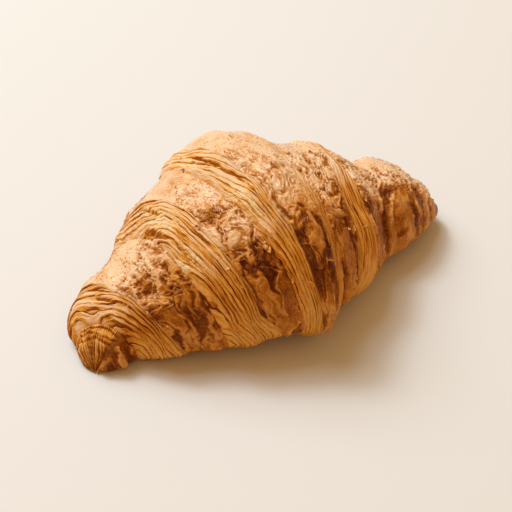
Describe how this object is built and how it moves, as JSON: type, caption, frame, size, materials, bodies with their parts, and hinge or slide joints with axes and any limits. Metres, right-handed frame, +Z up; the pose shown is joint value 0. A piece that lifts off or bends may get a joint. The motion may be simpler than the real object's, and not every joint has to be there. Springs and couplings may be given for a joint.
{
  "type": "croissant",
  "caption": "Baked butter croissant, a slightly curved crescent roll with layered edges beside its turns, a blistered crust, one blunt end and one pointed end.",
  "frame": {"origin": "middle of the underside of the croissant's box, on the surface it rests on", "axes": "+X along the roll towards its pointed end, +Y away from the side that both ends bend to, +Z up"},
  "size_m": [0.1552, 0.0936, 0.0602],
  "materials": {
    "crust": "golden brown egg-washed crust, satin on the blisters and matt on the open layers"
  },
  "bodies": {
    "root": {"croissant": "crust"}
  },
  "joints": []
}
